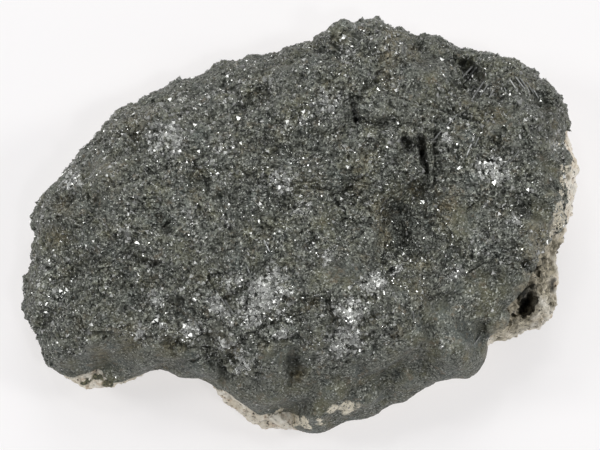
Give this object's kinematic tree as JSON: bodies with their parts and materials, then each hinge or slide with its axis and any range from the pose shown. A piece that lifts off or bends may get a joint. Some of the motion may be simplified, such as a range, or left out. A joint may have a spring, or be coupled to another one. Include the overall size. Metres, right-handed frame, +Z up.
{
  "type": "braunite specimen",
  "caption": "Hand specimen of braunite: a dark granular metallic ore mass with small octahedral crystals and glittering grains, on pale vuggy host rock.",
  "frame": {"origin": "on the surface the specimen rests on, under the centre of its bounding box", "axes": "+Z up from the pale host rock to the dark ore face; +X along the specimen's length; the vuggy corner of host rock is at +X, -Y"},
  "size_m": [0.1002, 0.0738, 0.0335],
  "materials": {
    "ore": "satin",
    "host_rock": "matte"
  },
  "bodies": {
    "root": {"braunite": "ore", "matrix": "host_rock"}
  },
  "joints": []
}
